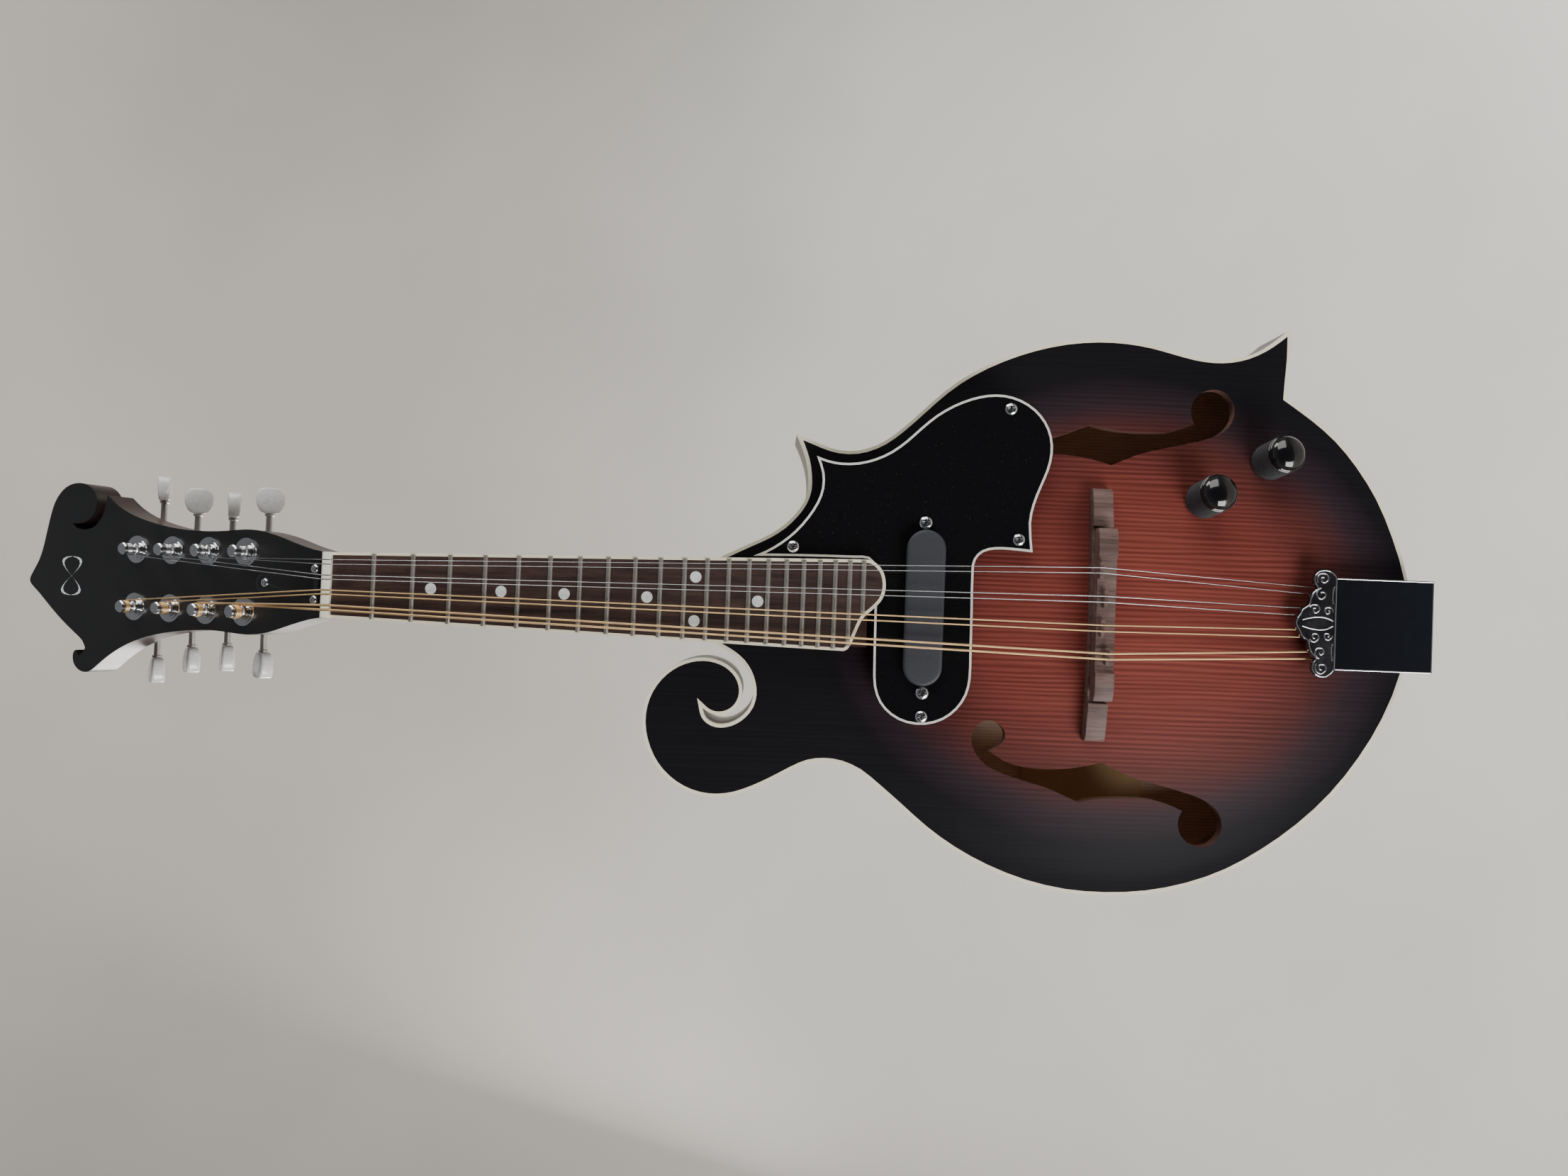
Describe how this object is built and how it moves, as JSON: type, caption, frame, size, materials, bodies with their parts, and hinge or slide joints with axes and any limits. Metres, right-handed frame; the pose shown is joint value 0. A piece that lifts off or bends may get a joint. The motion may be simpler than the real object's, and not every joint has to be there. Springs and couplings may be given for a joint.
{
  "type": "electric acoustic mandolin",
  "caption": "Scrolled-body mandolin with carved top, f-holes, pickguard pickup, paired strings and turning tuners.",
  "frame": {"origin": "centre of the nut's front edge on the plane of the fret crowns", "axes": "+Z along the neck towards the headstock, front of the instrument towards -Y, treble side towards +X"},
  "size_m": [0.2681, 0.1236, 0.7055],
  "materials": {
    "sunburst": "satin",
    "dark_wood": "satin",
    "spruce": "unfinished",
    "maple": "unfinished",
    "rosewood_board": "oiled",
    "rosewood_bridge": "dry",
    "cream": "polished",
    "black_gloss": "polished",
    "black_satin": "satin",
    "white_plastic": "polished",
    "pearl": "pearl",
    "bone": "polished",
    "nickel_silver": "polished",
    "chrome": "mirror",
    "steel": "bright",
    "brass": "aged",
    "bronze": "wound",
    "copper_coil": "enamelled",
    "rubber_black": "matt",
    "paper": "matt"
  },
  "bodies": {
    "instrument": {"top_plate": "sunburst", "back_plate": "dark_wood", "rim": "dark_wood", "front_binding": "cream", "back_binding": "cream", "linings": "maple", "tone_bars": "spruce", "neck_block": "maple", "tail_block": "maple", "neck": "dark_wood", "headstock_overlay": "black_gloss", "headstock_inlay": "pearl", "truss_rod": "steel", "truss_rod_cover": "black_gloss", "truss_cover_screws": "chrome", "fingerboard": "rosewood_board", "fingerboard_binding": "cream", "frets": "nickel_silver", "position_dots": "pearl", "nut": "bone", "pickguard": "black_gloss", "pickguard_edge": "white_plastic", "guard_posts": "dark_wood", "guard_screws": "chrome", "pickup_cover": "black_satin", "pickup_coil": "copper_coil", "bridge_base": "rosewood_bridge", "bridge_posts": "brass", "tailpiece_base": "chrome", "tailpiece_screws": "chrome", "strap_button": "chrome", "output_jack": "chrome", "potentiometers": "steel", "wiring": "rubber_black", "label": "paper", "tuner_plates": "chrome", "wound_strings": "bronze", "plain_strings": "steel"},
    "saddle": {"bridge_saddle": "rosewood_bridge"},
    "bass_wheel": {"bass_thumbwheel": "brass"},
    "treble_wheel": {"treble_thumbwheel": "brass"},
    "cover": {"tailpiece_cover": "chrome"},
    "volume": {"volume_knob": "black_gloss"},
    "tone": {"tone_knob": "black_gloss"},
    "bass_post_body_1": {"bass_post_1": "chrome"},
    "bass_key_body_1": {"bass_key_1": "pearl"},
    "bass_post_body_2": {"bass_post_2": "chrome"},
    "bass_key_body_2": {"bass_key_2": "pearl"},
    "bass_post_body_3": {"bass_post_3": "chrome"},
    "bass_key_body_3": {"bass_key_3": "pearl"},
    "bass_post_body_4": {"bass_post_4": "chrome"},
    "bass_key_body_4": {"bass_key_4": "pearl"},
    "treble_post_body_1": {"treble_post_1": "chrome"},
    "treble_key_body_1": {"treble_key_1": "pearl"},
    "treble_post_body_2": {"treble_post_2": "chrome"},
    "treble_key_body_2": {"treble_key_2": "pearl"},
    "treble_post_body_3": {"treble_post_3": "chrome"},
    "treble_key_body_3": {"treble_key_3": "pearl"},
    "treble_post_body_4": {"treble_post_4": "chrome"},
    "treble_key_body_4": {"treble_key_4": "pearl"}
  },
  "joints": [
    {"name": "bass_key_1_turn", "type": "hinge", "parent": "instrument", "child": "bass_key_body_1", "pos_m": [-0.0144, 0.04679, 0.04914], "axis": [-1, 0, 0], "continuous": true},
    {"name": "bass_post_1_turn", "type": "hinge", "parent": "instrument", "child": "bass_post_body_1", "pos_m": [-0.0144, 0.02367, 0.04965], "axis": [0, -0.9304, 0.3665], "continuous": true},
    {"name": "bass_key_2_turn", "type": "hinge", "parent": "instrument", "child": "bass_key_body_2", "pos_m": [-0.0144, 0.05544, 0.0711], "axis": [-1, 0, 0], "continuous": true},
    {"name": "bass_post_2_turn", "type": "hinge", "parent": "instrument", "child": "bass_post_body_2", "pos_m": [-0.0144, 0.03232, 0.07161], "axis": [0, -0.9304, 0.3665], "continuous": true},
    {"name": "bass_key_3_turn", "type": "hinge", "parent": "instrument", "child": "bass_key_body_3", "pos_m": [-0.0144, 0.06409, 0.09306], "axis": [-1, 0, 0], "continuous": true},
    {"name": "bass_post_3_turn", "type": "hinge", "parent": "instrument", "child": "bass_post_body_3", "pos_m": [-0.0144, 0.04097, 0.09357], "axis": [0, -0.9304, 0.3665], "continuous": true},
    {"name": "bass_key_4_turn", "type": "hinge", "parent": "instrument", "child": "bass_key_body_4", "pos_m": [-0.0144, 0.07274, 0.11501], "axis": [-1, 0, 0], "continuous": true},
    {"name": "bass_post_4_turn", "type": "hinge", "parent": "instrument", "child": "bass_post_body_4", "pos_m": [-0.0144, 0.04962, 0.11552], "axis": [0, -0.9304, 0.3665], "continuous": true},
    {"name": "treble_key_1_turn", "type": "hinge", "parent": "instrument", "child": "treble_key_body_1", "pos_m": [0.0144, 0.04679, 0.04914], "axis": [1, 0, 0], "continuous": true},
    {"name": "treble_post_1_turn", "type": "hinge", "parent": "instrument", "child": "treble_post_body_1", "pos_m": [0.0144, 0.02367, 0.04965], "axis": [0, -0.9304, 0.3665], "continuous": true},
    {"name": "treble_key_2_turn", "type": "hinge", "parent": "instrument", "child": "treble_key_body_2", "pos_m": [0.0144, 0.05544, 0.0711], "axis": [1, 0, 0], "continuous": true},
    {"name": "treble_post_2_turn", "type": "hinge", "parent": "instrument", "child": "treble_post_body_2", "pos_m": [0.0144, 0.03232, 0.07161], "axis": [0, -0.9304, 0.3665], "continuous": true},
    {"name": "treble_key_3_turn", "type": "hinge", "parent": "instrument", "child": "treble_key_body_3", "pos_m": [0.0144, 0.06409, 0.09306], "axis": [1, 0, 0], "continuous": true},
    {"name": "treble_post_3_turn", "type": "hinge", "parent": "instrument", "child": "treble_post_body_3", "pos_m": [0.0144, 0.04097, 0.09357], "axis": [0, -0.9304, 0.3665], "continuous": true},
    {"name": "treble_key_4_turn", "type": "hinge", "parent": "instrument", "child": "treble_key_body_4", "pos_m": [0.0144, 0.07274, 0.11501], "axis": [1, 0, 0], "continuous": true},
    {"name": "treble_post_4_turn", "type": "hinge", "parent": "instrument", "child": "treble_post_body_4", "pos_m": [0.0144, 0.04962, 0.11552], "axis": [0, -0.9304, 0.3665], "continuous": true},
    {"name": "volume_turn", "type": "hinge", "parent": "instrument", "child": "volume", "pos_m": [0.0544, -0.00834, -0.401], "axis": [0.1208, -0.9901, -0.072], "range_deg": [-140, 140]},
    {"name": "tone_turn", "type": "hinge", "parent": "instrument", "child": "tone", "pos_m": [0.074, -0.00305, -0.433], "axis": [0.1174, -0.9887, -0.0937], "range_deg": [-140, 140]},
    {"name": "cover_slide", "type": "slide", "parent": "instrument", "child": "cover", "axis": [0, 0, -1], "range_m": [0, 0.045]},
    {"name": "saddle_height", "type": "slide", "parent": "instrument", "child": "saddle", "axis": [0, -1, 0], "range_m": [-0.0015, 0]},
    {"name": "bass_wheel_turn", "type": "hinge", "parent": "saddle", "child": "bass_wheel", "pos_m": [-0.0315, -0.0192, -0.353], "axis": [0, -1, 0], "range_deg": [-772, 0]},
    {"name": "treble_wheel_turn", "type": "hinge", "parent": "saddle", "child": "treble_wheel", "pos_m": [0.0315, -0.0192, -0.353], "axis": [0, -1, 0], "range_deg": [-772, 0]}
  ],
  "couplings": [
    {"joint": "bass_post_1_turn", "follows": "bass_key_1_turn", "ratio": -0.066667},
    {"joint": "bass_post_2_turn", "follows": "bass_key_2_turn", "ratio": -0.066667},
    {"joint": "bass_post_3_turn", "follows": "bass_key_3_turn", "ratio": -0.066667},
    {"joint": "bass_post_4_turn", "follows": "bass_key_4_turn", "ratio": -0.066667},
    {"joint": "treble_post_1_turn", "follows": "treble_key_1_turn", "ratio": 0.066667},
    {"joint": "treble_post_2_turn", "follows": "treble_key_2_turn", "ratio": 0.066667},
    {"joint": "treble_post_3_turn", "follows": "treble_key_3_turn", "ratio": 0.066667},
    {"joint": "treble_post_4_turn", "follows": "treble_key_4_turn", "ratio": 0.066667},
    {"joint": "bass_wheel_turn", "follows": "saddle_height", "rad_per_m": 8976},
    {"joint": "treble_wheel_turn", "follows": "saddle_height", "rad_per_m": 8976}
  ]
}
